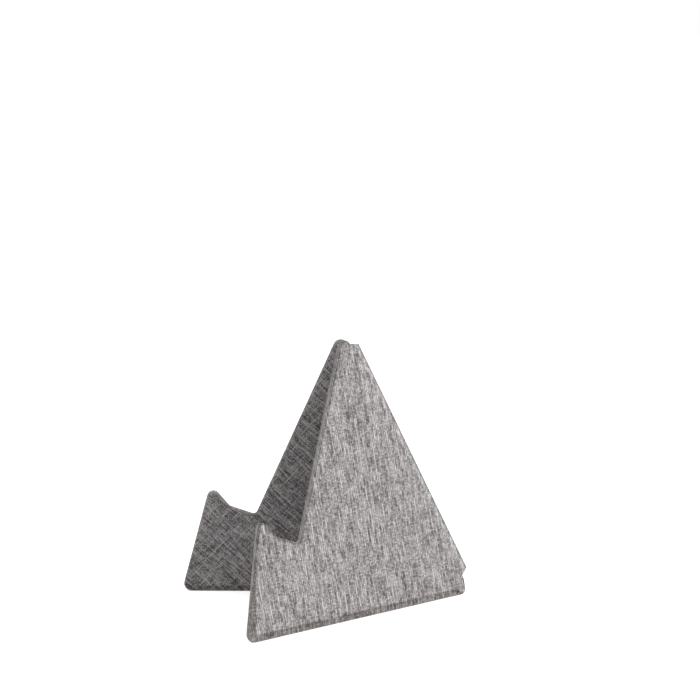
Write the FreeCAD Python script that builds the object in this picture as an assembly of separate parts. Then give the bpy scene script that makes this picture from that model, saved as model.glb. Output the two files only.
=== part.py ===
import FreeCAD, Part
import math
import os

# Folding desk stand: two stiff cloth-covered wings joined by a creased cloth fold along a leaning spine.
# Lengths are in millimetres and angles in degrees. X runs across the stand, and the wings mirror in X = 0.
# The stand opens towards -Y, +Z is up and the wings' lower edges rest on Z = 0.

# How the stand stands open
opening_angle = 51.1        # between the two lower edges, seen from above
press_depth = 0.25          # how far the cloth is pressed flat where a wing rests

# Outline of one wing, measured in its own outer face from the front lower corner
base_length = 116.9         # along the lower edge to the line of the spine's crest
wing_length = 110.4         # along the lower edge to the wing's rear edge
spine_lean = 22.0           # of the spine, from square to the lower edge
front_lean = 18.0           # of the front edge, from square to the lower edge
seat_setback = 21.5         # of the seat corner, behind the front corner
seat_height = 35.6          # of the seat corner, above the lower edge
seat_slope = 19.7           # of the ledge, down towards the back
hook_slope = 52.5           # of the hook's inner side, up towards the front
backrest_slope = 63.4       # of the backrest edge, from the lower edge's direction
slot_width = 10.5           # from the seat corner square to the backrest edge
front_corner_radius = 3.0
rear_corner_radius = 2.4
heel_radius = 1.5           # where the rear edge turns into the spine edge
apex_radius = 3.0
notch_radius = 1.8
seat_radius = 1.5
hook_radius = 2.5

# Layers of one wing
cloth_thickness = 0.35
board_thickness = 1.5       # at the board's rebated rim
edge_radius = 0.6           # of the covered edges
lining_inset = 0.6          # of the lining, inside the wing's outline
turn_in = 6.0               # of the cover's cloth, round the board and onto its inner face
rebate_radius = 2.0         # of the corners of the raised part of the board

# Fold between the wings
fold_width = 3.6            # from the crest to the crease at each wing
crease_relief = 0.3         # from that crease to the wing's padded edge
fold_foot_margin = 1.9      # along the spine from the wing's heel to the fold's lower end, at the crease
fold_top_margin = 0.5       # from the wing's rounded apex to the fold's upper end, at the crease
fold_end_rise = 1.4         # by which the fold's ends draw in towards the crest
crease_clearance = 0.05     # round each creased bead
mitre_clearance = 0.12      # from each wing to the middle plane beside the fold
fold_mitre_clearance = 0.03  # from each half of the fold to the middle plane
closed_gap = 0.3            # between the linings when the stand is folded flat

# Derived layers
fold_thickness = 2 * cloth_thickness
edge_thickness = board_thickness + 2 * cloth_thickness
lining_top = edge_thickness + cloth_thickness
bead_radius = fold_thickness / 2

# Derived attitude of the right wing: along its lower edge, up its face and out of its outer face
half_opening = math.radians(opening_angle / 2)
spine_tilt = math.radians(spine_lean)
wing_lean = math.asin(math.tan(half_opening) * math.tan(spine_tilt))
along = FreeCAD.Vector(-math.sin(half_opening), math.cos(half_opening), 0)
outward = FreeCAD.Vector(
    math.cos(half_opening) * math.cos(wing_lean),
    math.sin(half_opening) * math.cos(wing_lean),
    math.sin(wing_lean),
)
upward = outward.cross(along)
half_dihedral = math.acos(outward.x)
outer_foot_height = edge_thickness * math.sin(wing_lean) - press_depth
front_corner = FreeCAD.Vector(base_length * math.sin(half_opening), 0, outer_foot_height)

# Derived spine, in the wing's own axes: X along the lower edge, Y up the face, Z out of the outer face
spine_up = FreeCAD.Vector(-math.sin(spine_tilt), math.cos(spine_tilt), 0)
spine_inward = FreeCAD.Vector(-math.cos(spine_tilt), -math.sin(spine_tilt), 0)
spine_foot = FreeCAD.Vector(base_length, 0, 0)
crest_run = bead_radius / math.tan(half_dihedral)
reach = 2 * base_length     # longer than any part of the stand

# The wings turn about the line where the middle planes of the closed gap meet. Where the stand is folded
# flat, each half of the fold leans out from the wings until its crease clears the layers of its wing.
folding_depth = lining_top + closed_gap / 2
closed_strip_angle = math.asin((folding_depth - bead_radius) / (fold_width - crest_run))


def direction(angle):
    return FreeCAD.Vector(math.cos(math.radians(angle)), math.sin(math.radians(angle)), 0)


def wing_sides(inset, with_tips=True):
    """Each side of a wing, anticlockwise: a point on it, its direction and the radius where it starts.

    A side is moved in by the inset, and the hook and the short rear edge can be left out.
    """
    seat = FreeCAD.Vector(seat_setback, seat_height, 0)
    backrest_point = seat + direction(backrest_slope - 90) * slot_width
    spine_edge = fold_width + crease_relief
    base = (FreeCAD.Vector(0, 0, 0), 0, front_corner_radius)
    rear = (FreeCAD.Vector(wing_length, 0, 0), 90, rear_corner_radius)
    spine = (spine_foot + spine_inward * spine_edge, 90 + spine_lean, heel_radius)
    backrest = (backrest_point, 180 + backrest_slope, apex_radius)
    ledge = (seat, 180 - seat_slope, -notch_radius)
    hook = (seat, 180 - hook_slope, -seat_radius)
    front = (FreeCAD.Vector(0, 0, 0), 270 - front_lean, hook_radius)
    sides = [base, spine, backrest, ledge, front]
    if with_tips:
        sides = [base, rear, spine, backrest, ledge, hook, front]
    moved = []
    for point, angle, radius in sides:
        moved.append((point + direction(angle + 90) * inset, direction(angle), radius - inset, radius > 0))
    return moved


def meeting_point(first, second):
    point, heading = first[0], first[1]
    other_point, other_heading = second[0], second[1]
    span = other_point - point
    turn = heading.x * other_heading.y - heading.y * other_heading.x
    run = (span.x * other_heading.y - span.y * other_heading.x) / turn
    return point + heading * run


def rounded_face(sides, smallest_radius):
    """A flat face whose corners are rounded by arcs tangent to the sides."""
    ends = []
    for index, side in enumerate(sides):
        before = sides[index - 1]
        corner = meeting_point(before, side)
        turn = before[1].getAngle(side[1])
        radius = max(side[2], smallest_radius) if side[3] else -side[2]
        setback = radius * math.tan(turn / 2)
        start = corner - before[1] * setback
        finish = corner + side[1] * setback
        bisector = (side[1] - before[1]).normalize()
        middle = corner + bisector * (radius / math.cos(turn / 2) - radius)
        ends.append((start, middle, finish))
    edges = []
    for index, (start, middle, finish) in enumerate(ends):
        following = ends[(index + 1) % len(ends)][0]
        edges.append(Part.Arc(start, middle, finish).toShape())
        edges.append(Part.LineSegment(finish, following).toShape())
    return Part.Face(Part.Wire(edges))


def layer(sides, outer_depth, inner_depth, smallest_radius=0.3):
    """A slab of the outline between two depths below the wing's outer face."""
    slab = rounded_face(sides, smallest_radius).extrude(FreeCAD.Vector(0, 0, outer_depth - inner_depth))
    slab.translate(FreeCAD.Vector(0, 0, -outer_depth))
    return slab


def face_edges(slab, heights):
    """The slab's edges that lie flat at one of the given heights."""
    found = []
    for edge in slab.Edges:
        box = edge.BoundBox
        for height in heights:
            if abs(box.ZMin - height) < 1e-6 and abs(box.ZMax - height) < 1e-6:
                found.append(edge)
    return found


def stand_up(shape):
    """Turns a shape from the right wing's own axes to the open stand."""
    matrix = FreeCAD.Matrix(
        along.x, upward.x, outward.x, front_corner.x,
        along.y, upward.y, outward.y, front_corner.y,
        along.z, upward.z, outward.z, front_corner.z,
        0, 0, 0, 1,
    )
    placed = shape.copy()
    placed.Placement = FreeCAD.Placement(matrix).multiply(shape.Placement)
    return placed


def right_of_middle(clearance):
    """The space to the right of the middle plane, less a clearance."""
    return Part.makeBox(reach, 2 * reach, 2 * reach, FreeCAD.Vector(clearance, -reach, -reach))


def above_floor():
    return Part.makeBox(2 * reach, 2 * reach, reach, FreeCAD.Vector(-reach, -reach, 0))


def fold_ends():
    """How far up the spine the fold starts and ends, at the creases."""
    sides = wing_sides(0)
    rear, spine, backrest = sides[1], sides[2], sides[3]
    heel = meeting_point(rear, spine) - spine_foot
    apex = meeting_point(spine, backrest) - spine_foot
    rounding = apex_radius * math.tan(spine[1].getAngle(backrest[1]) / 2)
    foot = heel.dot(spine_up) + fold_foot_margin
    top = apex.dot(spine_up) - rounding - fold_top_margin
    return foot, top


def spine_point(up, inward, depth):
    """A point of the wing's own axes, given along the spine, square to it and below the outer face."""
    return spine_foot + spine_up * up + spine_inward * inward - FreeCAD.Vector(0, 0, depth)


def spine_rod(inward, radius):
    """A round rod along the spine in the middle of the fold's thickness."""
    start = spine_point(-reach / 2, inward, bead_radius)
    return Part.makeCylinder(radius, reach, start, spine_up)


def fold_plate(near_crest, near_wing):
    """The fold's flat cloth between two distances from the crest, with its ends drawn in."""
    drawn_in = fold_end_rise / fold_width
    foot, top = fold_ends()
    corners = []
    for up, inward in (
        (foot + drawn_in * (fold_width - near_wing), near_wing),
        (foot + drawn_in * (fold_width - near_crest), near_crest),
        (top - drawn_in * (fold_width - near_crest), near_crest),
        (top - drawn_in * (fold_width - near_wing), near_wing),
    ):
        corners.append(spine_point(up, inward, 0))
    outline = Part.makePolygon(corners + corners[:1])
    return Part.Face(outline).extrude(FreeCAD.Vector(0, 0, -fold_thickness))


def make_board():
    """The stiff board, raised inside the turned-in cloth so that its inner side is level."""
    rim_depth = cloth_thickness + board_thickness
    rim = layer(wing_sides(cloth_thickness), cloth_thickness, rim_depth)
    raised = layer(wing_sides(turn_in, False), rim_depth - board_thickness / 2, edge_thickness, rebate_radius)
    before_rear = FreeCAD.Vector(wing_length - turn_in - reach, -reach / 2, -reach / 2)
    raised = raised.common(Part.makeBox(reach, reach, reach, before_rear))
    board = stand_up(rim.fuse(raised).removeSplitter())
    return board.common(right_of_middle(mitre_clearance + cloth_thickness))


def make_cover(board):
    """The outer cloth, drawn round the board's edges and pressed thin towards the fold."""
    spine_edge = fold_width + crease_relief
    padded = layer(wing_sides(0), 0, edge_thickness)
    padded = padded.makeFillet(edge_radius, face_edges(padded, (0, -edge_thickness)))
    margin = fold_plate(fold_width, spine_edge + cloth_thickness)
    cover = padded.fuse(margin).cut(spine_rod(fold_width, bead_radius + crease_clearance))
    cover = stand_up(cover).common(right_of_middle(mitre_clearance)).common(above_floor())
    return cover.cut(board).removeSplitter()


def make_lining():
    """The inner cloth, set in from the wing's outline."""
    lining = layer(wing_sides(lining_inset), edge_thickness, lining_top)
    return stand_up(lining).common(right_of_middle(mitre_clearance))


def make_fold_half():
    """Half of the fold: bonded cloth with a creased bead at the wing, cut square to the middle plane."""
    plate = fold_plate(crest_run, fold_width)
    length_limits = fold_plate(-reach / 4, fold_width + bead_radius)
    crease = spine_rod(fold_width, bead_radius).common(length_limits)
    return stand_up(plate.fuse(crease)).common(right_of_middle(fold_mitre_clearance))


def make_crest():
    """The creased bead along the fold's crest, and the space that it needs in the other half."""
    drawn_in = fold_end_rise * (1 - crest_run / fold_width)
    foot, top = fold_ends()
    start = spine_point(foot + drawn_in, crest_run, bead_radius)
    length = top - foot - 2 * drawn_in
    bead = Part.makeCylinder(bead_radius, length, start, spine_up)
    return stand_up(bead), stand_up(spine_rod(crest_run, bead_radius + crease_clearance))


def mirrored(shape):
    return shape.mirror(FreeCAD.Vector(0, 0, 0), FreeCAD.Vector(1, 0, 0))


def build():
    board = make_board()
    cover = make_cover(board)
    lining = make_lining()
    fold_half = make_fold_half()
    crest, crest_space = make_crest()
    parts = {
        "right_board": board,
        "right_cover": cover,
        "right_lining": lining,
        "right_fold_strip": fold_half.fuse(crest).removeSplitter(),
        "left_board": mirrored(board),
        "left_cover": mirrored(cover),
        "left_lining": mirrored(lining),
        "left_fold_strip": mirrored(fold_half.cut(crest_space)),
    }
    return parts


def main():
    parts = build()
    whole = FreeCAD.BoundBox()
    for shape in parts.values():
        whole.add(shape.optimalBoundingBox(True, False))
    shift = FreeCAD.Vector(0, -(whole.YMin + whole.YMax) / 2, 0)
    os.makedirs("parts", exist_ok=True)
    for name, shape in parts.items():
        solids = shape.Solids
        if len(solids) != 1 or not solids[0].isValid():
            raise RuntimeError(name + " is not one sound solid")
        solid = solids[0]
        solid.translate(shift)
        solid.exportStep("parts/" + name + ".step")
        print(name, "volume %.2f mm3" % solid.Volume)
    report_joints(shift, whole)


def report_joints(shift, whole):
    """Prints the sizes and the hinge lines that describe the stand."""
    print("size %.2f x %.2f x %.2f mm" % (whole.XLength, whole.YLength, whole.ZLength))
    print("front corner %.4f, %.4f, %.4f" % tuple(front_corner + shift))
    print("fold range %.4f" % math.degrees(2 * half_dihedral))
    print("crease range %.4f" % math.degrees(closed_strip_angle))
    middle = sum(fold_ends()) / 2
    hinges = {
        "fold": spine_point(middle, folding_depth / math.tan(half_dihedral), folding_depth),
        "right crease": spine_point(middle, fold_width, bead_radius),
        "crest": spine_point(middle, crest_run, bead_radius),
    }
    for name, point in hinges.items():
        place = along * point.x + upward * point.y + outward * point.z + front_corner + shift
        print("%s at %.4f, %.4f, %.4f" % (name, place.x, place.y, place.z))
    spine = along * spine_up.x + upward * spine_up.y
    print("spine direction %.6f, %.6f, %.6f" % (spine.x, spine.y, spine.z))


main()
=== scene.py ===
"""Dresses the folding tablet stand in its woven cloths and sets it on a white floor.

Lengths in the wing's own axes are in millimetres: X along the lower edge, Y up the face and Z out of the
outer face. Each mesh is turned to the open stand in metres, and the left wing mirrors the right one.
"""

import math

import bpy
import numpy as np
from mathutils import Matrix, Vector
from mathutils.geometry import delaunay_2d_cdt


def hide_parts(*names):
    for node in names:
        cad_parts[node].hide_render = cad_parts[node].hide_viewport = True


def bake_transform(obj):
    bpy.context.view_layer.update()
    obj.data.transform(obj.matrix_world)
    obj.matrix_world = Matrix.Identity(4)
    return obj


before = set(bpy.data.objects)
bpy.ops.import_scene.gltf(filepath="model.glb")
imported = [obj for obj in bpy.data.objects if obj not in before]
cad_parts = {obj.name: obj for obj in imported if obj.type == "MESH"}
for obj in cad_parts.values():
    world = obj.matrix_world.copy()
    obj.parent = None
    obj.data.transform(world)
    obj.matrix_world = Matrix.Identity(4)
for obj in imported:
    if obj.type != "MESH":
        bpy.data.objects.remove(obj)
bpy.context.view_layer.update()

bl_info = {
    "name": "Folding Tablet Stand",
    "version": (1, 0, 0),
    "blender": (4, 5, 0),
    "location": "3D View > Sidebar > Tablet Stand",
    "description": "Dresses the folding tablet stand in woven cloth and lights it on a white floor",
    "category": "Object",
}

MM = 0.001

# Outline of one wing, in its outer face from the front lower corner
WING_LENGTH = 110.4
BASE_LENGTH = 116.9
SPINE_LEAN = 22.0
FRONT_LEAN = 18.0
SEAT_SETBACK = 21.5
SEAT_HEIGHT = 35.6
SEAT_SLOPE = 19.7
HOOK_SLOPE = 52.5
BACKREST_SLOPE = 63.4
SLOT_WIDTH = 10.5
FRONT_CORNER_RADIUS = 3.0
REAR_CORNER_RADIUS = 2.4
HEEL_RADIUS = 1.5
APEX_RADIUS = 3.0
NOTCH_RADIUS = 1.8
SEAT_RADIUS = 1.5
HOOK_RADIUS = 2.5
SMALLEST_RADIUS = 0.3
SIDE_NAMES = ("base", "rear", "spine", "backrest", "ledge", "hook", "front")

# Layers and fold, as they lie in the boards and creases
EDGE_THICKNESS = 2.2
LINING_INSET = 0.6
TURN_IN = 6.0
FOLD_WIDTH = 3.6
SPINE_EDGE = 3.9
FOLD_FOOT_MARGIN = 1.9
FOLD_TOP_MARGIN = 0.5
FOLD_END_RISE = 1.4
BEAD_RADIUS = 0.35
MITRE_CLEARANCE = 0.12

# How the right wing stands: its front lower corner, and its axes
FRONT_CORNER = np.array((50.4188, -50.3334, 0.1749))
HALF_OPENING = math.radians(51.1 / 2)
SPINE_TILT = math.radians(SPINE_LEAN)
WING_LEAN = math.asin(math.tan(HALF_OPENING) * math.tan(SPINE_TILT))
ALONG = np.array((-math.sin(HALF_OPENING), math.cos(HALF_OPENING), 0.0))
OUTWARD = np.array((
    math.cos(HALF_OPENING) * math.cos(WING_LEAN),
    math.sin(HALF_OPENING) * math.cos(WING_LEAN),
    math.sin(WING_LEAN),
))
UPWARD = np.cross(OUTWARD, ALONG)
HALF_DIHEDRAL = math.acos(OUTWARD[0])
CREST_RUN = BEAD_RADIUS / math.tan(HALF_DIHEDRAL)

# Spine in the wing's own axes, and how far up it the points across the fold are taken
SPINE_FOOT = np.array((BASE_LENGTH, 0.0))
SPINE_UP = np.array((-math.sin(SPINE_TILT), math.cos(SPINE_TILT)))
SPINE_INWARD = np.array((-math.cos(SPINE_TILT), -math.sin(SPINE_TILT)))
BLEND_HEIGHT = 45

# The mesh: its spacings, rows and clearance as shares of them, and angles in degrees
STATION_SPACING = 1.1
FACE_SPACING = 1.5
BORDER_SPACING = 2.0
ROW_SHARE = 0.866
CLEAR_SHARE = 0.62
CORNER_STEP = 9
SHARP_ANGLE = 50

# Outer cloth: where it rounds over and bends, and the pressed line beside a well rounded edge
SPLIT_INSET = 0.75
OUTER_RINGS = (2.9, 2.6, 2.4, 2.25, 2.1, 1.95, 1.8, 1.6, 1.4, 1.2, 0.95, SPLIT_INSET)
EDGE_INSETS = (0.58, 0.42, 0.28, 0.16, 0.07, 0.0)
WALL_DEPTHS = (0.95, 1.3)
BORDER_INSETS = (1.2, 1.9)
BORDER_RADIUS = 2.0
EDGE_BEND = 0.6
SPINE_ROUNDING = 0.74
ROUNDING = {"base": 1.6, "front": 0.9, "spine": SPINE_ROUNDING}
OTHER_ROUNDING = 0.8
ROUNDING_DEPTH = 0.52
DEPTH_PER_WIDTH = 0.1
HEM_PLACE = 2.1
HEM_SPREAD = 0.32
HEM_ROUNDING = 1.2

# Inner cloth: (inward from its own inset, or in its bend from the spine's edge, below the outer face)
LINING_RINGS = ((2.2, 2.55), (1.5, 2.55), (0.75, 2.55), (0.5, 2.55), (0.25, 2.545))
LINING_EDGE = ((0.12, 2.53), (0.04, 2.48), (0.0, 2.41), (0.0, 2.3), (0.0, 2.205))
LINING_BEND = ((0.78, 2.34), (0.7, 2.27))

# Fold: places inward from the crest, and the crease where the cloth leaves the board
BEFORE_CREASE = (4.35, 4.1, 3.9)
CREASE = (3.8, 3.7, 3.6, 3.5, 3.4, 3.3)
AFTER_CREASE = (3.1, 2.7, 2.2, 1.7, 1.2, 0.86)
BESIDE_BEAD = 0.91
BEHIND_BEAD = 1.12
INNER_AFTER_CREASE = (3.5, 3.4, 3.3, 3.1, 2.7, 2.2, 1.8, 1.4)
CREASE_DEPTH = 0.05
CREASE_SPREAD = 0.16
CREASE_ROUNDING = 0.3
BEAD_CORE = 0.02
BEAD_STEPS = 12

# Distances that the rim's darker tint and painted shade and the crest's painted highlight don't reach, and
# how much further each side counts
FACE_FROM_RIM = 9.0
FOLD_FROM_RIM = 6.0
BORDER_FROM_RIM = 4.0
FAR_FROM_CREST = 9.0
LEAST_FROM_RIM = -1.5
RIM_EXTRA = {"hook": 1.4, "ledge": 1.6, "backrest": 1.8, "rear": 2.4, "spine": 2.4}
FRONT_EXTRA = (-0.3, 2.1)
FOLD_EXTRA = 5.0

# Painted light on the covered edges: how strong, and from where over how much it sets in
BASE_EDGE_LIGHT = 0.7
SIDE_EDGE_LIGHT = 0.6
INSET_FADE = (0.4, -0.3)
DEPTH_FADE = (0.6, 0.5)
FRONT_RIM_FADE = (8, 12)
FRONT_WALL_FADE = (8, 10)

# Ripple of the faces: its (wavelength, share) three times each, and each cloth's seed and fade
RIPPLE_WAVES = ((46.0, 1.0), (27.0, 0.7), (15.0, 0.45), (8.0, 0.22))
RIPPLE_GAIN = 1.8
OUTER_RIPPLE = (11, 6)
INNER_RIPPLE = (23, 5)

# How far each wing's weave is shifted, so that no two pieces show the same yarns
OUTER_SHIFT = {"right": 0.0, "left": 311.7}
INNER_SHIFT = {"right": 97.3, "left": 533.1}

# How each weave looks: slub sizes in millimetres, the rest as shares; hem is how strong the rim's darker
# tint and painted shade are
OUTER_LOOK = {
    "grain_angle": 0.0, "warp_spread": 1.6, "rib": 0.7, "slub": 5.5, "slub_width": 0.42,
    "slub_share": 0.4, "weft_hidden": 0.62, "thread": 0.12, "contrast": 0.88, "hem": 1.0,
}
INNER_LOOK = {
    "grain_angle": -45.0, "warp_spread": 1.0, "rib": 0.0, "slub": 6.5, "slub_width": 0.45,
    "slub_share": 0.6, "weft_hidden": 0.3, "thread": 0.22, "contrast": 0.92, "hem": 0.8,
}
THREAD_FROM = 0.68
FLECK = 0.12
MELANGE_STOPS = (0.37, 0.50, 0.63)
WEAVE_RELIEF = 0.00012
BOARD_RELIEF = 0.00005

# Floor and backdrop
FLOOR_REACH = 6
FLOOR_DROP = 0.00005
FLOOR_GLOW = 0.68


def heading(angle):
    """The direction at an angle in degrees."""
    return np.array((math.cos(math.radians(angle)), math.sin(math.radians(angle))))


def wing_sides(inset):
    """Each side of a wing, anticlockwise: a point on it, its angle and the rounding where it starts."""
    seat = np.array((SEAT_SETBACK, SEAT_HEIGHT))
    sides = (
        (np.zeros(2), 0.0, FRONT_CORNER_RADIUS),
        (np.array((WING_LENGTH, 0.0)), 90.0, REAR_CORNER_RADIUS),
        (SPINE_FOOT + SPINE_INWARD * SPINE_EDGE, 90.0 + SPINE_LEAN, HEEL_RADIUS),
        (seat + heading(BACKREST_SLOPE - 90) * SLOT_WIDTH, 180.0 + BACKREST_SLOPE, APEX_RADIUS),
        (seat, 180.0 - SEAT_SLOPE, -NOTCH_RADIUS),
        (seat, 180.0 - HOOK_SLOPE, -SEAT_RADIUS),
        (np.zeros(2), 270.0 - FRONT_LEAN, HOOK_RADIUS),
    )
    return [(
        point + heading(angle + 90) * inset,
        angle,
        max(radius - inset, SMALLEST_RADIUS) if radius > 0 else inset - radius,
    ) for point, angle, radius in sides]


def meeting_point(first, second):
    """Where the lines of two sides cross."""
    point, line = first[0], heading(first[1])
    other, other_line = second[0], heading(second[1])
    span = other - point
    turn = line[0] * other_line[1] - line[1] * other_line[0]
    return point + line * (span[0] * other_line[1] - span[1] * other_line[0]) / turn


def corner_arcs(sides):
    """For each side, the points of the arc where it starts."""
    arcs = []
    for index, side in enumerate(sides):
        before = sides[index - 1]
        corner = meeting_point(before, side)
        turn = (side[1] - before[1] + 180) % 360 - 180
        half = math.radians(abs(turn) / 2)
        start = corner - heading(before[1]) * side[2] * math.tan(half)
        bisector = heading(side[1]) - heading(before[1])
        centre = corner + bisector / np.linalg.norm(bisector) * side[2] / math.cos(half)
        steps = max(3, math.ceil(abs(turn) / CORNER_STEP))
        arm = start - centre
        points = []
        for step in range(steps + 1):
            angle = math.radians(turn * step / steps)
            points.append(centre + np.array((
                arm[0] * math.cos(angle) - arm[1] * math.sin(angle),
                arm[0] * math.sin(angle) + arm[1] * math.cos(angle),
            )))
        arcs.append(np.array(points))
    return arcs


def fold_limits(inward):
    """How far up the spine the fold starts and ends, at a distance inward from the crest."""
    sides = wing_sides(0)
    heel = meeting_point(sides[1], sides[2]) - SPINE_FOOT
    apex = meeting_point(sides[2], sides[3]) - SPINE_FOOT
    rounding = APEX_RADIUS * math.tan(math.radians((sides[3][1] - sides[2][1]) / 2))
    drawn_in = FOLD_END_RISE / FOLD_WIDTH * (FOLD_WIDTH - min(inward, SPINE_EDGE + SPLIT_INSET))
    foot = heel @ SPINE_UP + FOLD_FOOT_MARGIN + drawn_in
    top = apex @ SPINE_UP - rounding - FOLD_TOP_MARGIN - drawn_in
    return foot, top


def spine_point(up, inward):
    """The place up the spine and inward from it, in the wing's own axes."""
    return SPINE_FOOT + SPINE_UP * up + SPINE_INWARD * inward


class Outline:
    """Stations round a wing, as many at every inset, with the sides and the fold that they lie on."""

    def __init__(self):
        arcs = corner_arcs(wing_sides(0))
        lengths = [np.linalg.norm(after[0] - arc[-1]) for arc, after in zip(arcs, arcs[1:] + arcs[:1])]
        self.divisions = [max(2, round(length / STATION_SPACING)) for length in lengths]
        foot, top = fold_limits(SPINE_EDGE)
        self.fold_divisions = round((top - foot) / STATION_SPACING)
        self.zero = self.ring(0)
        outward = self.zero - self.ring(1.0)
        self.outward = outward / np.linalg.norm(outward, axis=1)[:, None]
        self.open = list(range(self.fold_last, len(self.zero))) + list(range(self.fold_first + 1))
        self.fold = slice(self.fold_first, self.fold_last + 1)

    def ring(self, inset):
        """The points at an inset. The name of each one's side is kept in self.side."""
        arcs = corner_arcs(wing_sides(inset))
        points, side = [], []
        for index, (name, divisions) in enumerate(zip(SIDE_NAMES, self.divisions)):
            points.extend(arcs[index])
            start, finish = points[-1], arcs[(index + 1) % len(arcs)][0]
            if name == "spine":
                inward, count = SPINE_EDGE + inset, self.fold_divisions
                foot, top = fold_limits(inward)
                low, high = spine_point(foot, inward), spine_point(top, inward)
                self.fold_first = len(points) + 1
                self.fold_last = self.fold_first + count
                points.append(start + (low - start) * 0.5)
                points.extend(low + (high - low) * k / count for k in range(count + 1))
            else:
                points.extend(start + (finish - start) * k / divisions for k in range(1, divisions))
            side.extend([name] * (len(points) - len(side)))
        self.side = np.array(side)
        return np.array(points)


def inside(points, ring):
    """Which points lie inside a closed ring."""
    x, y = points[:, 0][:, None], points[:, 1][:, None]
    a, b = ring, np.roll(ring, -1, axis=0)
    crosses = (a[:, 1] > y) != (b[:, 1] > y)
    with np.errstate(divide="ignore", invalid="ignore"):
        at = a[:, 0] + (y - a[:, 1]) / (b[:, 1] - a[:, 1]) * (b[:, 0] - a[:, 0])
    return np.count_nonzero(crosses & (x < at), axis=1) % 2 == 1


def distance_to(points, ring):
    """The distance from each point to a closed ring."""
    a, b = ring, np.roll(ring, -1, axis=0)
    span = b - a
    arm = points[:, None, :] - a[None, :, :]
    share = np.clip((arm * span).sum(2) / np.maximum((span**2).sum(1), 1e-12), 0, 1)
    return np.linalg.norm(arm - span * share[:, :, None], axis=2).min(1)


def fill(ring, spacing):
    """Points and triangles that fill a closed ring. The ring's own points come first."""
    low, high = ring.min(0), ring.max(0)
    grid = np.array([
        (x, y) for row, y in enumerate(np.arange(low[1], high[1], spacing * ROW_SHARE))
        for x in np.arange(low[0] + spacing / 2 * (row % 2), high[0], spacing)
    ])
    grid = grid[inside(grid, ring) & (distance_to(grid, ring) > CLEAR_SHARE * spacing)]
    points = np.concatenate([ring, grid])
    edges = [(k, (k + 1) % len(ring)) for k in range(len(ring))]
    found = delaunay_2d_cdt([Vector(p) for p in points], edges, [], 0, 1e-6)
    if len(found[0]) != len(points):
        raise RuntimeError("the fill of the cloth gained or lost points")
    source = [indices[0] for indices in found[3]]
    triangles = np.array([[source[k] for k in face] for face in found[2]])
    triangles = triangles[inside(points[triangles].mean(1), ring)]
    a, b, c = points[triangles[:, 0]], points[triangles[:, 1]], points[triangles[:, 2]]
    turn = (b[:, 0] - a[:, 0]) * (c[:, 1] - a[:, 1]) - (b[:, 1] - a[:, 1]) * (c[:, 0] - a[:, 0])
    triangles[turn < 0] = triangles[turn < 0][:, ::-1]
    return points, triangles


class Cloth:
    """The outer skin of a cloth: points, their place in the flat cut, values for the look, and faces."""

    def __init__(self):
        self.points, self.flat, self.faces, self.backs = [], [], [], {}
        self.values = {"rim": [], "wall": [], "crest": []}

    def add(self, points, flat, rim, wall=0.0, crest=FAR_FROM_CREST):
        """Adds points, and gives back their numbers."""
        first = len(self.points)
        self.points.extend(points)
        self.flat.extend(flat)
        for label, value in (("rim", rim), ("wall", wall), ("crest", crest)):
            self.values[label].extend(np.broadcast_to(value, len(points)))
        return list(range(first, first + len(points)))

    def carry_on(self, row, *values, closed=False, **more):
        """Adds a row of points beside another, with the faces between, and gives back their numbers."""
        following = self.add(*values, **more)
        for k in range(len(row) if closed else len(row) - 1):
            after = (k + 1) % len(row)
            self.faces.append((following[k], following[after], row[after], row[k]))
        return following


def skin_normals(points, faces):
    """The skin's direction at each point, averaged over its faces by their size."""
    normals = np.zeros_like(points)
    for face in faces:
        corners = points[list(face)]
        normal = np.zeros(3)
        for k in range(1, len(face) - 1):
            normal += np.cross(corners[k] - corners[0], corners[k + 1] - corners[0])
        for k in face:
            normals[k] += normal
    lengths = np.linalg.norm(normals, axis=1)
    return normals / np.maximum(lengths, 1e-12)[:, None]


def ripple(points, seed):
    """Slow unevenness of cloth laid on board, about between -1 and 1."""
    generator = np.random.default_rng(seed)
    total = np.zeros(len(points))
    weight = 0.0
    for wavelength, share in RIPPLE_WAVES:
        for _ in range(3):
            angle = generator.uniform(0, math.tau)
            phase = generator.uniform(0, math.tau)
            line = np.array((math.cos(angle), math.sin(angle))) * math.tau / wavelength
            total += share * np.sin(points[:, :2] @ line + phase)
            weight += share
    return total / weight * RIPPLE_GAIN


def smoothed(values, width):
    """Values round a ring, averaged over a number of stations on each side."""
    total = np.zeros(len(values))
    for shift in range(-width, width + 1):
        total += np.roll(values, shift)
    return total / (2 * width + 1)


def at_height(plan, height):
    """The points of a plan at one height, or each at its own."""
    return np.column_stack([plan, np.broadcast_to(height, len(plan))])


def lifted(plan, height):
    """As at_height, but kept clear of the plane beside the fold in which the wings' inner edges meet."""
    points = at_height(plan, height)
    inward = (plan - SPINE_FOOT) @ SPINE_INWARD
    deepest = inward * math.tan(HALF_DIHEDRAL) - MITRE_CLEARANCE / math.cos(HALF_DIHEDRAL)
    beside = inward > SPINE_EDGE - 0.01
    points[beside, 2] = np.maximum(points[beside, 2], -deepest[beside])
    return points


def stand_up(points, mirror):
    """Points of the wing's own axes, in metres on the open stand."""
    along, up, out = points[:, :1], points[:, 1:2], points[:, 2:3]
    placed = FRONT_CORNER + along * ALONG + up * UPWARD + out * OUTWARD
    placed[:, 2] = np.maximum(placed[:, 2], 0.0)
    if mirror:
        placed[:, 0] *= -1
    return placed * MM


def flat_measures(cloth):
    """Width, length and area of a cloth's flat cut, in metres."""
    flat = np.array(cloth.flat)
    size = flat.max(0) - flat.min(0)
    area = 0.0
    for face in cloth.faces:
        x, y = flat[list(face)].T
        area += 0.5 * abs(x @ np.roll(y, -1) - y @ np.roll(x, -1))
    return (size[0] * MM, size[1] * MM), area * MM * MM


def add_object(name, data):
    """A new object in the scene."""
    added = bpy.data.objects.new(name, data)
    bpy.context.scene.collection.objects.link(added)
    return added


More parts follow.
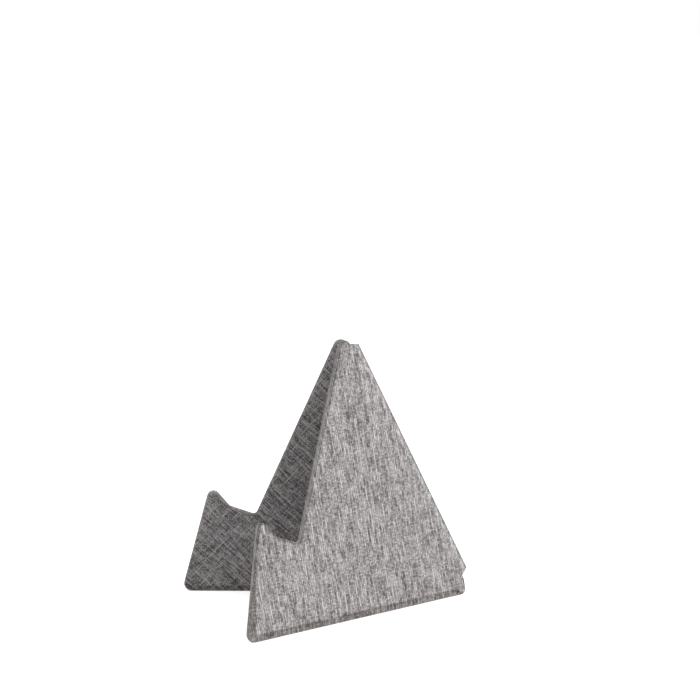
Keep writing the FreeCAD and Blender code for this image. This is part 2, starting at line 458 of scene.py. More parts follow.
def finish_cloth(cloth, name, material, thickness, mirror, weave_shift):
    """Turns a cloth's skin into a closed mesh of its thickness, with the weave's coordinates on it."""
    points = np.array(cloth.points)
    backs = points - skin_normals(points, cloth.faces) * thickness
    for index, back in cloth.backs.items():
        backs[index] = back
    edges = dict.fromkeys(edge for face in cloth.faces for edge in zip(face, face[1:] + face[:1]))
    count = len(points)
    faces = list(cloth.faces)
    faces += [tuple(k + count for k in reversed(face)) for face in cloth.faces]
    faces += [(b, a, a + count, b + count) for a, b in edges if (b, a) not in edges]
    if mirror:
        faces = [tuple(reversed(face)) for face in faces]
    mesh = bpy.data.meshes.new(name)
    mesh.from_pydata(stand_up(np.concatenate([points, backs]), mirror), [], faces)
    weave = at_height(np.concatenate([cloth.flat, cloth.flat]) + weave_shift, 0.0)
    attribute = mesh.attributes.new("weave", "FLOAT_VECTOR", "POINT")
    attribute.data.foreach_set("vector", weave.astype(np.float32).ravel())
    for label, values in cloth.values.items():
        attribute = mesh.attributes.new(label, "FLOAT", "POINT")
        attribute.data.foreach_set("value", np.concatenate([values, values]).astype(np.float32))
    mesh.validate()
    mesh.shade_smooth()
    mesh.set_sharp_from_angle(angle=math.radians(SHARP_ANGLE))
    mesh.materials.append(material)
    return add_object(name, mesh)


def turns(*angles):
    """Sine and cosine of each angle in degrees."""
    return [(math.sin(math.radians(angle)), math.cos(math.radians(angle))) for angle in angles]


def edge_profile(outline, softness):
    """How wide and deep the outer cloth rounds over, at each station."""
    width = np.array([ROUNDING.get(name, OTHER_ROUNDING) for name in outline.side]) * softness
    width = smoothed(width, 3)
    spine = outline.side == "spine"
    width[spine] = np.minimum(width[spine], SPINE_ROUNDING)
    return width, ROUNDING_DEPTH + DEPTH_PER_WIDTH * width


def set_in(value, fade, least=0):
    """From least to 1 over a fade's reach, from where the fade starts."""
    return np.clip((value - fade[0]) / fade[1], least, 1)


def rim_extra(outline):
    """How much further from the rim's darker tint and painted shade each station counts."""
    extra = np.array([RIM_EXTRA.get(name, 0.0) for name in outline.side])
    front = outline.side == "front"
    extra[front] = FRONT_EXTRA[0] + FRONT_EXTRA[1] * set_in(outline.zero[front, 1], FRONT_RIM_FADE)
    extra[outline.fold] = FOLD_EXTRA
    return smoothed(extra, 2)


def raised_outline():
    """The turned-in cloth's own edge, from the spine's foot round to its top, past hook and rear edge."""
    sides = dict(zip(SIDE_NAMES, wing_sides(TURN_IN)))
    sides = [sides[name] for name in ("backrest", "ledge", "front", "base", "spine")]
    arcs = corner_arcs([(point, angle, max(radius, BORDER_RADIUS)) for point, angle, radius in sides])
    points = list(arcs[0])
    for arc in arcs[1:]:
        start, finish = points[-1], arc[0]
        count = max(2, round(np.linalg.norm(finish - start) / BORDER_SPACING))
        points.extend(start + (finish - start) * k / count for k in range(1, count))
        points.extend(arc)
    return np.array(points[::-1])


def add_face(cloth, outline, rings, extra, unevenness, seed, fade):
    """A wing's face, and the (inset, height) rings round it, of which it gives back the last."""
    inset, height = rings[0]
    ring = outline.ring(inset)
    plan, triangles = fill(ring, FACE_SPACING)
    rise = unevenness * ripple(plan, seed) * np.clip(distance_to(plan, ring) / fade, 0, 1)
    rim = np.concatenate([inset + extra, np.full(len(plan) - len(ring), FACE_FROM_RIM)])
    indices = cloth.add(lifted(plan, rise + height), plan, rim)
    cloth.faces += [tuple(indices[k] for k in face) for face in triangles]
    row = indices[:len(ring)]
    for inset, height in rings[1:]:
        ring = outline.ring(inset)
        row = cloth.carry_on(row, lifted(ring, height), ring, inset + extra, closed=True)
    return row


def edge_rows(outline, inset, height, profile):
    """For each (inset, height) from a ring on: points, their place in the flat cut and the way so far."""
    start = outline.ring(inset)
    before = at_height(start, height)
    run = np.zeros(len(start))
    for inset, height in profile:
        here = lifted(outline.ring(inset), height)
        run = run + np.linalg.norm(here - before, axis=1)
        before = here
        yield here, start + outline.outward * run[:, None], run


def fold_line(outline, inward):
    """Points from the fold's foot to its top, at a distance inward from the crest."""
    foot, top = fold_limits(max(inward, CREST_RUN))
    low, high = spine_point(foot, inward), spine_point(top, inward)
    share = np.arange(outline.fold_divisions + 1)[:, None] / outline.fold_divisions
    return low + (high - low) * share


def add_strip(cloth, outline, row, path, backs=()):
    """Carries a cloth over its half of the fold to the crest, by rows at each (inward, height) of a path.

    The backs of the last rows are given in the same way, where the cloth goes round a bead.
    """
    before = np.array([cloth.points[k] for k in row])
    start = np.array([cloth.flat[k] for k in row])
    run = np.zeros(len(row))
    backs = [None] * (len(path) - len(backs)) + list(backs)
    for (inward, height), back in zip(path, backs):
        plan = fold_line(outline, inward)
        points = lifted(plan, height)
        run = run + np.linalg.norm(points - before, axis=1)
        before = points
        flat = start - SPINE_INWARD * run[:, None]
        crest = (plan - SPINE_FOOT) @ SPINE_INWARD
        row = cloth.carry_on(row, points, flat, FOLD_FROM_RIM, crest=crest)
        if back is not None:
            cloth.backs.update(zip(row, at_height(fold_line(outline, back[0]), back[1])))


def add_border(cloth, outline, row, last, flat, run):
    """The cloth turned in on the board, from the last row over the edge to its own cut edge."""
    border = raised_outline()
    plan, triangles = fill(np.concatenate([last[:, :2], border]), BORDER_SPACING)
    added = plan[len(last):]
    nearest = ((added[:, None, :] - last[None, :, :2]) ** 2).sum(2).argmin(1)
    far = np.linalg.norm(added - last[nearest, :2], axis=1)
    away = outline.outward[outline.open][nearest] * (run[nearest] + far)[:, None]
    both = row + cloth.add(at_height(added, -EDGE_THICKNESS), flat[nearest] + away, BORDER_FROM_RIM)
    cloth.faces += [tuple(both[k] for k in reversed(face)) for face in triangles]


def outer_cloth(outline, settings, full_crest):
    """Outer face, edges and turned-in border of a wing, with the outside of its half of the fold."""
    cloth = Cloth()
    width, depth = edge_profile(outline, settings.edge_softness)
    hem_depth = settings.hem_depth / MM * (width > HEM_ROUNDING)
    extra = rim_extra(outline)

    def drop(inset):
        share = np.clip((width - inset) / width, 0, 1)
        hem = hem_depth * np.exp(-((inset - HEM_PLACE) / HEM_SPREAD) ** 2)
        return -depth * (1 - np.sqrt(1 - share**2)) - hem

    rings = [(OUTER_RINGS[0], 0.0)] + [(inset, drop(inset)) for inset in OUTER_RINGS[1:]]
    ring_row = add_face(cloth, outline, rings, extra, settings.unevenness / MM, *OUTER_RIPPLE)

    # Over the edges painted light makes the cloth paler, at the front one only on its wall
    level = EDGE_THICKNESS - EDGE_BEND
    wall = [(0.0, -below) for below in WALL_DEPTHS + (level,)]
    bend = turns(18, 36, 54, 72, 90)
    wall += [(EDGE_BEND * (1 - across), -level - EDGE_BEND * down) for down, across in bend]
    wall += [(inset, -EDGE_THICKNESS) for inset in BORDER_INSETS]
    profile = [(inset, drop(inset)) for inset in EDGE_INSETS] + wall
    smooth = [(set_in(inset, INSET_FADE), 0.0) for inset in EDGE_INSETS]
    smooth += [(1.0, set_in(-height, DEPTH_FADE)) for _, height in wall]
    front = outline.side == "front"
    covered = np.where(outline.side == "base", BASE_EDGE_LIGHT, SIDE_EDGE_LIGHT)
    covered[front] = set_in(outline.zero[front, 1], FRONT_WALL_FADE, 0.1)
    row = [ring_row[k] for k in outline.open]
    rows = edge_rows(outline, SPLIT_INSET, drop(SPLIT_INSET), profile)
    for (points, flat, run), (over, down) in zip(rows, smooth):
        edge_light = covered * np.where(front, down, over)
        rim = extra + np.maximum(SPLIT_INSET - run, LEAST_FROM_RIM)
        row = cloth.carry_on(row, *[each[outline.open] for each in (points, flat, rim, edge_light)])
    start = outline.ring(SPLIT_INSET)[outline.open]
    add_border(cloth, outline, row, points[outline.open], start, run[outline.open])

    path = [(inward, 0.0) for inward in BEFORE_CREASE]
    for inward in CREASE:
        path.append((inward, -CREASE_DEPTH * math.exp(-((inward - FOLD_WIDTH) / CREASE_SPREAD) ** 2)))
    path += [(inward, 0.0) for inward in AFTER_CREASE]
    if full_crest:
        backs = []
        for step in range(BEAD_STEPS + 1):
            turn = (math.pi - 2 * HALF_DIHEDRAL) * step / BEAD_STEPS
            across, up = math.sin(turn), math.cos(turn)
            path.append((CREST_RUN - BEAD_RADIUS * across, BEAD_RADIUS * (up - 1)))
            backs.append((CREST_RUN - BEAD_CORE * across, -BEAD_RADIUS + BEAD_CORE * up))
    else:
        path[-1] = (BESIDE_BEAD, 0.0)
        backs = [(BEHIND_BEAD, -BEAD_RADIUS)]
    add_strip(cloth, outline, ring_row[outline.fold], path, backs)
    return cloth


def inner_cloth(outline, settings):
    """Lining of a wing, which goes down the board's spine edge and backs its half of the fold."""
    cloth = Cloth()
    # The rim's darker tint and painted shade show only along the lower edge
    extra = smoothed(np.where(outline.side == "base", 0.0, BORDER_FROM_RIM), 1)
    rings = [(LINING_INSET + more, -height) for more, height in LINING_RINGS]
    ring_row = add_face(cloth, outline, rings, extra, settings.unevenness / MM, *INNER_RIPPLE)

    row = [ring_row[k] for k in outline.open]
    profile = [(LINING_INSET + more, -height) for more, height in LINING_EDGE]
    for points, flat, _ in edge_rows(outline, rings[-1][0], rings[0][1], profile):
        row = cloth.carry_on(row, points[outline.open], flat[outline.open], BORDER_FROM_RIM)

    level = EDGE_THICKNESS - EDGE_BEND
    path = [(SPINE_EDGE + more, -height) for more, height in LINING_BEND]
    bend = turns(0, 18, 36, 54, 72, 90)
    path += [(SPINE_EDGE + EDGE_BEND * (1 - across), -level - EDGE_BEND * down) for across, down in bend]
    path.append((SPINE_EDGE, -WALL_DEPTHS[1]))
    back = -2 * BEAD_RADIUS
    for up, across in turns(0, 30, 60, 90):
        path.append((FOLD_WIDTH + CREASE_ROUNDING * across, back - CREASE_ROUNDING * (1 - up)))
    path += [(inward, back) for inward in INNER_AFTER_CREASE]
    add_strip(cloth, outline, ring_row[outline.fold], path)
    cloth.faces = [tuple(reversed(face)) for face in cloth.faces]
    return cloth


class Nodes:
    """Adds nodes to a material or a world, in columns from left to right."""

    def __init__(self, owner):
        self.owner = owner
        owner.use_nodes = True
        self.tree = owner.node_tree
        self.tree.nodes.clear()
        self.count = 0

    def add(self, kind, label="", inputs=(), **settings):
        """A node with these settings. Its inputs, in order or by key, take values or links."""
        node = self.tree.nodes.new("ShaderNode" + kind)
        node.label = label
        node.location = (220 * (self.count // 5), -240 * (self.count % 5))
        self.count += 1
        for key, value in settings.items():
            setattr(node, key, value)
        for key, value in inputs.items() if isinstance(inputs, dict) else enumerate(inputs):
            if isinstance(value, bpy.types.NodeSocket):
                self.tree.links.new(value, node.inputs[key])
            else:
                node.inputs[key].default_value = value
        return node

    def finish(self, shader, kind="OutputMaterial"):
        """Joins a shader to the output, and gives back the material or world."""
        self.add(kind, "", (shader.outputs[0],))
        return self.owner

    def maths(self, operation, first, second=0.0, third=0.0, label=""):
        return self.add("Math", label, (first, second, third), operation=operation).outputs[0]

    def vector(self, operation, first, second, label=""):
        return self.add("VectorMath", label, (first, second), operation=operation).outputs[0]

    def combine(self, x, y, z=0.0):
        return self.add("CombineXYZ", "", (x, y, z)).outputs[0]

    def attribute(self, name, label, output="Fac"):
        return self.add("Attribute", label, attribute_name=name).outputs[output]

    def noise(self, vector, scale, detail=2.0, roughness=0.5, label="", output="Fac"):
        inputs = {"Vector": vector, "Scale": scale, "Detail": detail, "Roughness": roughness}
        return self.add("TexNoise", label, inputs).outputs[output]

    def stretch(self, value, low, high, to_low=0.0, to_high=1.0, label="", smooth=False):
        inputs = (value, low, high, to_low, to_high)
        kind = "SMOOTHSTEP" if smooth else "LINEAR"
        return self.add("MapRange", label, inputs, interpolation_type=kind).outputs[0]

    def blend(self, factor, first, second, label="", mode="MIX"):
        inputs = {0: factor, 6: first, 7: second}
        return self.add("Mix", label, inputs, data_type="RGBA", blend_type=mode).outputs[2]

    def ramp(self, value, stops, label):
        """Colours that change with a value, from (position, colour) stops."""
        node = self.add("ValToRGB", label, (value,))
        elements = node.color_ramp.elements
        for index, (position, colour) in enumerate(stops):
            element = elements[index] if index < 2 else elements.new(position)
            element.position, element.color = position, rgba(colour)
        return node.outputs[0]

    def bump(self, height, strength, distance, label):
        inputs = {"Strength": strength, "Distance": distance, "Height": height}
        return self.add("Bump", label, inputs).outputs[0]


def rgba(colour):
    return (colour[0], colour[1], colour[2], 1.0)


def woven_cloth(name, shades_of_yarn, border, lit_edge_colour, crest_colours, pitch, look):
    """A weave of melange yarn with slubs along it, a darker tint and painted shade along the rim, painted
    light on the covered edges, and a painted highlight beside the crest with a darker line on it.
    """
    n = Nodes(bpy.data.materials.new(name))
    weave = n.attribute("weave", "Place in the cloth", "Vector")
    turned = n.add("VectorRotate", "Grain", {"Vector": weave}, rotation_type="Z_AXIS")
    turned.inputs["Angle"].default_value = math.radians(look["grain_angle"])
    drift = n.noise(turned.outputs[0], 0.06, 2.0, 0.5, "Yarn drift", "Color")
    drift = n.vector("SUBTRACT", drift, (0.5, 0.5, 0.5))
    place = n.vector("ADD", turned.outputs[0], drift, "Drifted place")
    across, along = n.add("SeparateXYZ", "", (place,)).outputs[:2]

    def yarns(wide, width, label):
        """Number, roundness and wave of the yarns that lie side by side."""
        run = n.maths("DIVIDE", wide, width, label=label + " count")
        centre = n.maths("SUBTRACT", n.maths("FRACT", run), 0.5)
        roundness = n.maths("COSINE", n.maths("MULTIPLY", centre, math.pi))
        wave = n.maths("SINE", n.maths("MULTIPLY", run, math.pi))
        return n.maths("FLOOR", run, label=label + " yarn"), roundness, wave

    warp_yarn, warp_round, warp_wave = yarns(across, pitch * look["warp_spread"], "Warp")
    weft_yarn, weft_round, weft_wave = yarns(along, pitch, "Weft")
    wave = n.maths("MULTIPLY", warp_wave, weft_wave, label="Over and under")
    waviness = 0.4 - 0.25 * look["rib"]
    warp_bend, weft_bend = n.maths("MULTIPLY", wave, waviness), n.maths("MULTIPLY", wave, -0.4)
    warp_height = n.maths("MULTIPLY_ADD", warp_round, 1.0 - waviness, warp_bend, "Warp height")
    weft_height = n.maths("MULTIPLY_ADD", weft_round, 0.5, weft_bend, "Weft height")
    weft_height = n.maths("SUBTRACT", weft_height, 0.3 * look["rib"])
    height = n.maths("MAXIMUM", warp_height, weft_height, label="Cloth height")
    above = n.maths("SUBTRACT", warp_height, weft_height)
    warp_on_top = n.stretch(above, -0.1, 0.1, label="Warp on top")

    def streaks(wide, run, width, length, place, detail, label):
        """Marks of this width and length along the yarn, which neighbouring yarns share."""
        at = n.combine(n.maths("DIVIDE", wide, width), n.maths("DIVIDE", run, length), place)
        return n.noise(at, 1.0, detail, 0.5, label)

    def yarn_tone(yarn, wide, run, places, label):
        """Tone of a yarn along its length: slow change, short fibres, and slubs that neighbours share."""
        at = n.combine(n.maths("MULTIPLY", yarn, 7.31), n.maths("DIVIDE", run, look["slub"]), places[0])
        slow = n.noise(at, 1.0, 2.0, 0.65, label + " tone")
        at = n.combine(n.maths("MULTIPLY", yarn, 3.17), n.maths("MULTIPLY", run, 1.6), places[0] + 5)
        quick = n.noise(at, 1.0, 1.0, 0.5, label + " fibre")
        own = n.maths("ADD", n.maths("MULTIPLY", slow, 0.72), n.maths("MULTIPLY", quick, 0.28))
        length, share = look["slub"] * 0.9, look["slub_share"]
        slubs = streaks(wide, run, look["slub_width"], length, places[1], 1.0, label + " slub")
        return n.maths("MULTIPLY_ADD", own, 1 - share, n.maths("MULTIPLY", slubs, share))

    def pale_threads(wide, run, place, gain, label):
        """Few long threads."""
        marks = streaks(wide, run, 0.28, look["slub"] * 1.7, place, 0.0, label)
        return n.stretch(marks, THREAD_FROM, THREAD_FROM + 0.1, 0.0, gain, smooth=True)

    warp_tone = yarn_tone(warp_yarn, across, along, (1.5, 3.5), "Warp")
    weft_tone = yarn_tone(weft_yarn, along, across, (8.5, 4.5), "Weft")
    shown = n.stretch(warp_on_top, 0, 1, look["weft_hidden"], 1.0)
    tones = {0: shown, 2: weft_tone, 3: warp_tone}
    tone = n.add("Mix", "Yarn tone", tones, data_type="FLOAT").outputs[0]
    crossing = {"Vector": n.combine(warp_yarn, weft_yarn)}
    fleck = n.add("TexWhiteNoise", "Fleck of each crossing", crossing, noise_dimensions="2D")
    patch = n.noise(weave, 0.07, 3.0, 0.55, "Slow tone")
    value = 0.5
    for part, gain in ((tone, look["contrast"]), (fleck.outputs["Value"], FLECK), (patch, 0.05)):
        value = n.maths("MULTIPLY_ADD", n.maths("SUBTRACT", part, 0.5), gain, value)
    pale_warp = pale_threads(across, along, 21.5, look["thread"], "Pale warp")
    pale_weft = pale_threads(along, across, 33.5, look["thread"] * (1 - look["weft_hidden"]), "Pale weft")
    value = n.maths("ADD", value, n.maths("MAXIMUM", pale_warp, pale_weft), label="Melange tone")
    melange = n.ramp(value, zip(MELANGE_STOPS, shades_of_yarn), "Melange")

    # Darker tint and painted shade along the rim, with painted shade in the pressed line, and painted
    # light on the cloth over the edge walls
    ragged = n.noise(weave, 0.45, 3.0, 0.6, "Ragged rim")
    uneven = n.maths("SUBTRACT", ragged, 0.5)
    rim = n.attribute("rim", "Distance from the edge")
    reach = n.maths("ADD", rim, n.maths("MULTIPLY", uneven, 0.9))
    wall = n.attribute("wall", "Covered edge")
    band = n.stretch(reach, 3.2, 2.2, 0.0, look["hem"], "Rim tint and painted shade band", smooth=True)
    beside_line = n.maths("ABSOLUTE", n.maths("SUBTRACT", reach, 2.0))
    line = n.stretch(beside_line, 0.7, 0.1, 0.7, 1.0, "Painted shade in the hem line", smooth=True)
    band = n.maths("MULTIPLY", n.maths("MULTIPLY", band, line), n.stretch(wall, 0.0, 1.0, 1.0, 0.3))
    patches = n.stretch(n.noise(weave, 0.16, 2.0, 0.6, "Patches of rim tint and shade"), 0.38, 0.62, 0.7, 1.15)
    rim_tint_and_shade_share = n.maths("MULTIPLY", band, patches, label="Rim share")
    coloured = n.blend(rim_tint_and_shade_share, melange, rgba(border), "Rim tint and painted shade", "MULTIPLY")
    # Paler colour over the edge walls is painted light
    edge_light = n.maths("MULTIPLY", wall, n.stretch(ragged, 0.3, 0.7, 0.35, 0.75), label="Painted light on the edge walls")
    coloured = n.blend(edge_light, coloured, rgba(lit_edge_colour), "Lit edge walls")

    # Painted highlight in a pale band beside the crest, and a darker line on it
    crest = n.attribute("crest", "Distance from the crest")
    crest = n.maths("MULTIPLY_ADD", uneven, 0.5, crest)
    beside_band = n.maths("ABSOLUTE", n.maths("SUBTRACT", crest, 2.0))
    crest_highlight_share = n.stretch(beside_band, 0.9, 0.3, 0.0, 0.9, "Painted crest highlight band", smooth=True)
    brighter = n.vector("MULTIPLY", coloured, (1.6, 1.6, 1.6))
    paler = n.blend(0.45, n.blend(0.5, coloured, rgba(crest_colours[0])), brighter)
    coloured = n.blend(crest_highlight_share, coloured, paler, "Painted highlight on the fold's rounding")
    crest_line_share = n.stretch(crest, 1.2, 0.8, 0.0, 0.75, "Darker crest line", smooth=True)
    coloured = n.blend(crest_line_share, coloured, rgba(crest_colours[1]), "Darker line on the crest")

    gap = n.stretch(height, 0.0, 0.5, 0.45, 1.0, "Shade between yarns")
    shaded = n.blend(1.0, coloured, n.combine(gap, gap, gap), "Yarn shade", "MULTIPLY")
    fuzz = n.noise(place, 5.5, 2.0, 0.7, "Fibre fuzz")
    relief = n.maths("MULTIPLY_ADD", fuzz, 0.35, height, "Relief")
    thick = n.maths("MULTIPLY_ADD", warp_tone, 0.5, relief, "Slub relief")
    shader = n.add("BsdfPrincipled", name, {
        "Base Color": shaded,
        "Roughness": n.stretch(fuzz, 0.3, 0.7, 0.82, 0.96, "Dry fibre"),
        "Specular IOR Level": 0.22,
        "Sheen Weight": 0.12,
        "Sheen Roughness": 0.5,
        "Normal": n.bump(thick, 0.7, WEAVE_RELIEF, "Weave relief"),
    })
    return n.finish(shader)


def pressed_board(colour):
    """Grey board of pressed fibre."""
    n = Nodes(bpy.data.materials.new("pressed_board"))
    place = n.add("TexCoord").outputs["Object"]
    fibre = n.noise(n.vector("MULTIPLY", place, (900.0, 900.0, 3200.0)), 1.0, 4.0, 0.65, "Pressed fibre")
    cloud = n.noise(place, 60.0, 2.0, 0.5, "Cloudy fibre")
    mixed = n.maths("MULTIPLY_ADD", fibre, 0.7, n.maths("MULTIPLY", cloud, 0.3))
    stops = ((0.3, [0.6 * c for c in colour]), (0.7, [1.4 * c for c in colour]))
    shader = n.add("BsdfPrincipled", "Board", {
        "Base Color": n.ramp(mixed, stops, "Board shades"),
        "Roughness": n.stretch(cloud, 0.3, 0.7, 0.75, 0.92),
        "Normal": n.bump(fibre, 0.4, BOARD_RELIEF, "Board tooth"),
    })
    return n.finish(shader)


class ClothSettings(bpy.types.PropertyGroup):
    """Sizes of the cloths and their yarn."""

    thickness: bpy.props.FloatProperty(
        name="Cloth Thickness", description="Thickness of each cloth",
        default=0.00034, min=0.0001, max=0.00035, precision=5, unit="LENGTH", subtype="DISTANCE",
    )
    yarn_pitch: bpy.props.FloatProperty(
        name="Yarn Pitch", description="Distance between neighbouring yarns",
        default=0.00055, min=0.0002, max=0.002, precision=5, unit="LENGTH", subtype="DISTANCE",
    )
    unevenness: bpy.props.FloatProperty(
        name="Unevenness", description="Height of the slow ripple of the cloth on the board",
        default=0.00006, min=0.0, max=0.00025, precision=5, unit="LENGTH", subtype="DISTANCE",
    )
    hem_depth: bpy.props.FloatProperty(
        name="Hem Line Depth", description="Depth of the pressed line beside the lower edge",
        default=0.00012, min=0.0, max=0.0003, precision=5, unit="LENGTH", subtype="DISTANCE",
    )
    edge_softness: bpy.props.FloatProperty(
        name="Edge Softness", description="How far the covered edges round over, against the usual",
        default=1.0, min=0.4, max=1.1, subtype="FACTOR",
    )


class ColourSettings(bpy.types.PropertyGroup):
    """Colours of the cloths and the board."""

    outer_dark: bpy.props.FloatVectorProperty(
        name="Outer Dark Yarn", description="Darkest fibre of the outer cloth",
        default=(0.115, 0.104, 0.104), min=0, max=1, subtype="COLOR",
    )
    outer_middle: bpy.props.FloatVectorProperty(
        name="Outer Yarn", description="Main colour of the outer cloth",
        default=(0.36, 0.336, 0.336), min=0, max=1, subtype="COLOR",
    )
    outer_pale: bpy.props.FloatVectorProperty(
        name="Outer Pale Slub", description="Palest slubs of the outer cloth",
        default=(0.68, 0.65, 0.64), min=0, max=1, subtype="COLOR",
    )
    # The inner colours are darker than the outer ones partly from the cloth and partly as painted shade of
    # the inner faces
    inner_dark_with_shade: bpy.props.FloatVectorProperty(
        name="Inner Dark Yarn", description="Darkest fibre of the inner cloth, with painted shade",
        default=(0.064, 0.0595, 0.062), min=0, max=1, subtype="COLOR",
    )
    inner_middle_with_shade: bpy.props.FloatVectorProperty(
        name="Inner Yarn", description="Main colour of the inner cloth, with painted shade",
        default=(0.238, 0.2215, 0.224), min=0, max=1, subtype="COLOR",
    )
    inner_pale_with_shade: bpy.props.FloatVectorProperty(
        name="Inner Pale Slub", description="Palest slubs of the inner cloth, with painted shade",
        default=(0.55, 0.52, 0.52), min=0, max=1, subtype="COLOR",
    )
    # Partly a darker tint of the cloth, partly painted shade along the edges
    rim_tint_and_shade: bpy.props.FloatVectorProperty(
        name="Rim Tint And Shade", description="Darker tint and painted shade of the cloth along the edges",
        default=(0.47, 0.455, 0.425), min=0, max=1, subtype="COLOR",
    )
    # Painted light: the paler colour of the cloth over the edge walls
    edge: bpy.props.FloatVectorProperty(
        name="Lit Edge Wall", description="Painted light on the cloth over the edge walls",
        default=(0.47, 0.44, 0.432), min=0, max=1, subtype="COLOR",
    )
    # Painted highlight along the fold's rounding beside the crest
    crest_highlight: bpy.props.FloatVectorProperty(
        name="Crest Highlight", description="Painted highlight beside the crest",
        default=(0.54, 0.55, 0.535), min=0, max=1, subtype="COLOR",
    )
    crest: bpy.props.FloatVectorProperty(
        name="Crest", description="Colour of the darker line on the crest",
        default=(0.29, 0.295, 0.29), min=0, max=1, subtype="COLOR",
    )
    board: bpy.props.FloatVectorProperty(
        name="Board", description="Colour of the pressed board",
        default=(0.055, 0.055, 0.06), min=0, max=1, subtype="COLOR",
    )


class StageSettings(bpy.types.PropertyGroup):
    """Floor and light round the stand."""

    floor: bpy.props.FloatVectorProperty(
        name="Floor", description="Colour of the floor",
        default=(0.9, 0.9, 0.9), min=0, max=1, subtype="COLOR",
    )
    sky: bpy.props.FloatProperty(
        name="Sky Light", description="Strength of the even light from all round",
        default=0.62, min=0, max=2,
    )
    key: bpy.props.FloatProperty(
        name="Key Light", description="Strength of the wide soft light from the side",
        default=0.95, min=0, max=10,
    )


def hold_on_board(piece, cloth, side):
    """Bakes the piece's placement into its mesh. The points across the fold and the flat cut's measures
    that it works out are not used.
    """
    plan = [spine_point(BLEND_HEIGHT, inward) for inward in (SPINE_EDGE, 2 * FOLD_WIDTH - SPINE_EDGE)]
    start, end = (tuple(place) for place in stand_up(at_height(plan, -BEAD_RADIUS), side == "left"))
    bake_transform(piece)
    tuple(start)
    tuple(end)
    flat, area = flat_measures(cloth)


class STAND_OT_outer_cloths(bpy.types.Operator):
    """Wraps both wings in the outer cloth and carries it over the fold"""

    bl_idname = "stand.outer_cloths"
    bl_label = "Wrap Outer Cloths"

    def execute(self, context):
        cloths, colours = context.scene.stand_cloths, context.scene.stand_colours
        yarn = (colours.outer_dark, colours.outer_middle, colours.outer_pale)
        material = woven_cloth(
            "outer_linen", yarn, colours.rim_tint_and_shade, colours.edge, (colours.crest_highlight, colours.crest),
            cloths.yarn_pitch / MM, OUTER_LOOK,
        )
        outline = Outline()
        for side, shift in OUTER_SHIFT.items():
            cloth = outer_cloth(outline, cloths, side == "right")
            name, mirror = side + "_outer_cloth", side == "left"
            piece = finish_cloth(cloth, name, material, cloths.thickness / MM, mirror, shift)
            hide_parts(side + "_cover", side + "_fold_strip")
            hold_on_board(piece, cloth, side)
        return {"FINISHED"}


class STAND_OT_inner_cloths(bpy.types.Operator):
    """Lines both wings with the inner cloth and backs the fold with it"""

    bl_idname = "stand.inner_cloths"
    bl_label = "Lay Inner Cloths"

    def execute(self, context):
        cloths, colours = context.scene.stand_cloths, context.scene.stand_colours
        # Inner colours: partly the cloth's own, partly painted shade
        yarn = (colours.inner_dark_with_shade, colours.inner_middle_with_shade, colours.inner_pale_with_shade)
        material = woven_cloth(
            "inner_linen", yarn, colours.rim_tint_and_shade, colours.inner_middle_with_shade,
            (colours.inner_middle_with_shade, colours.inner_dark_with_shade), cloths.yarn_pitch / MM, INNER_LOOK,
        )
        outline = Outline()
        for side, shift in INNER_SHIFT.items():
            cloth = inner_cloth(outline, cloths)
            name, mirror = side + "_inner_cloth", side == "left"
            piece = finish_cloth(cloth, name, material, cloths.thickness / MM, mirror, shift)
            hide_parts(side + "_lining")
            hold_on_board(piece, cloth, side)
        return {"FINISHED"}


class STAND_OT_boards(bpy.types.Operator):
    """Gives the stiff boards inside the wings their pressed fibre"""

    bl_idname = "stand.boards"
    bl_label = "Finish Boards"

    def execute(self, context):
        material = pressed_board(context.scene.stand_colours.board)
        for side in ("right", "left"):
            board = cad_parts[side + "_board"]
            board.data.materials.clear()
            board.data.materials.append(material)
        return {"FINISHED"}


def seen_directly(n):
    """Whether a ray comes from the camera, straight, mirrored or through something clear."""
    ray = n.add("LightPath").outputs
    seen = n.maths("MAXIMUM", ray["Is Camera Ray"], ray["Is Glossy Ray"])
    return n.maths("MAXIMUM", seen, ray["Is Transmission Ray"], label="Seen directly")


def floor_material(colour):
    """White floor that shows no edge against the backdrop and keeps the shadow."""
    n = Nodes(bpy.data.materials.new("white_floor"))
    place = n.add("TexCoord").outputs["Object"]
    pale = n.stretch(n.noise(place, 35.0, 3.0, 0.6, "Floor grain"), 0.3, 0.7, 0.99, 1.0)
    paint = n.blend(1.0, rgba(colour), n.combine(pale, pale, pale), "Floor tone", "MULTIPLY")
    diffuse = n.add("BsdfDiffuse", "Paint", {"Color": paint})
    strength = n.maths("MULTIPLY", seen_directly(n), FLOOR_GLOW)
    glow = n.add("Emission", "Glow", {"Strength": strength})
    total = n.add("AddShader", "", (diffuse.outputs[0], glow.outputs[0]))
    return n.finish(total)


def make_floor(colour):
    """A wide floor just below the stand."""
    mesh = bpy.data.meshes.new("floor")
    corners = [(x * FLOOR_REACH, y * FLOOR_REACH, 0) for x, y in ((-1, -1), (1, -1), (1, 1), (-1, 1))]
    mesh.from_pydata(corners, [], [(0, 1, 2, 3)])
    mesh.materials.append(floor_material(colour))
    floor = add_object("floor", mesh)
    floor.location.z = -FLOOR_DROP


def make_world(strength):
    """Even white light, and plain white where the camera looks past the floor."""
    n = Nodes(bpy.data.worlds.new("soft_white"))
    white = (1, 1, 1, 1)
    light = n.add("Background", "Sky light", {"Color": white, "Strength": strength})
    shown = n.add("Background", "Backdrop", {"Color": white, "Strength": 1.0})
    mix = n.add("MixShader", "", (seen_directly(n), light.outputs[0], shown.outputs[0]))
    bpy.context.scene.world = n.finish(mix, "OutputWorld")


def make_sun(name, towards, spread, strength):
    """A wide soft light, the same all over the floor."""
    data = bpy.data.lights.new(name, "SUN")
    data.angle = math.radians(spread)
    data.energy = strength
    lamp = add_object(name, data)
    lamp.location = towards
    lamp.rotation_euler = Vector(towards).to_track_quat("Z", "Y").to_euler()


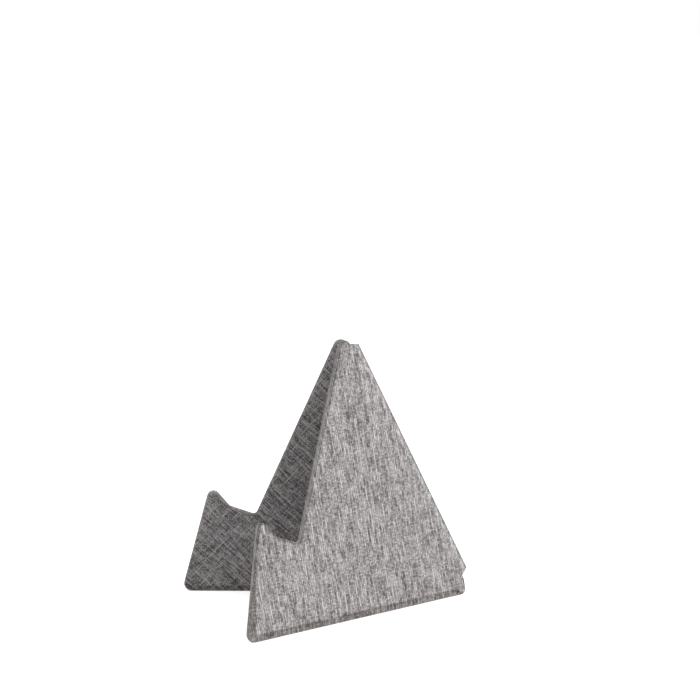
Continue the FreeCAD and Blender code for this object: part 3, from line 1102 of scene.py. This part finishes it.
def make_camera():
    """The camera at the photographed angle, for a square picture."""
    place = (1.0461, -0.30682, 0.24473)
    right = Vector((0.29004, 0.95659, -0.02859))
    down = Vector((0.11992, -0.06597, -0.99059))
    forward = Vector((-0.94947, 0.28388, -0.13385))
    data = bpy.data.cameras.new("camera")
    data.lens = 150.2
    data.clip_start, data.clip_end = 0.05, 30.0
    camera = add_object("camera", data)
    turn = Matrix((right, -down, -forward)).transposed().to_4x4()
    camera.matrix_world = Matrix.Translation(place) @ turn
    bpy.context.scene.camera = camera


class STAND_OT_stage(bpy.types.Operator):
    """Sets the camera, the white floor and the soft lights"""

    bl_idname = "stand.stage"
    bl_label = "Set Stage"

    def execute(self, context):
        stage = context.scene.stand_stage
        context.scene.view_settings.view_transform = "Standard"
        make_camera()
        make_floor(stage.floor)
        make_world(stage.sky)
        make_sun("key_sun", (0.75, 0.5, 0.6), 50, stage.key)
        make_sun("side_sun", (0.9, 0.5, 0.2), 70, 0.5 * stage.key)
        return {"FINISHED"}


class STAND_PT_sidebar(bpy.types.Panel):
    """Steps and settings of the tablet stand"""

    bl_label = "Tablet Stand"
    bl_idname = "STAND_PT_sidebar"
    bl_space_type = "VIEW_3D"
    bl_region_type = "UI"
    bl_category = "Tablet Stand"

    def draw(self, context):
        layout = self.layout
        for step in STEPS:
            layout.operator(step.bl_idname)
        for name, kind in SETTINGS.items():
            box = layout.box()
            for setting in kind.__annotations__:
                box.prop(getattr(context.scene, name), setting)


SETTINGS = {"stand_cloths": ClothSettings, "stand_colours": ColourSettings, "stand_stage": StageSettings}
STEPS = (STAND_OT_stage, STAND_OT_boards, STAND_OT_outer_cloths, STAND_OT_inner_cloths)
CLASSES = (*SETTINGS.values(), *STEPS, STAND_PT_sidebar)


def register():
    for item in CLASSES:
        bpy.utils.register_class(item)
    for name, kind in SETTINGS.items():
        setattr(bpy.types.Scene, name, bpy.props.PointerProperty(type=kind))


def unregister():
    for name in SETTINGS:
        delattr(bpy.types.Scene, name)
    for item in reversed(CLASSES):
        bpy.utils.unregister_class(item)


def main():
    register()
    bpy.ops.stand.stage()
    bpy.ops.stand.boards()
    bpy.ops.stand.outer_cloths()
    bpy.ops.stand.inner_cloths()


if __name__ == "__main__":
    main()
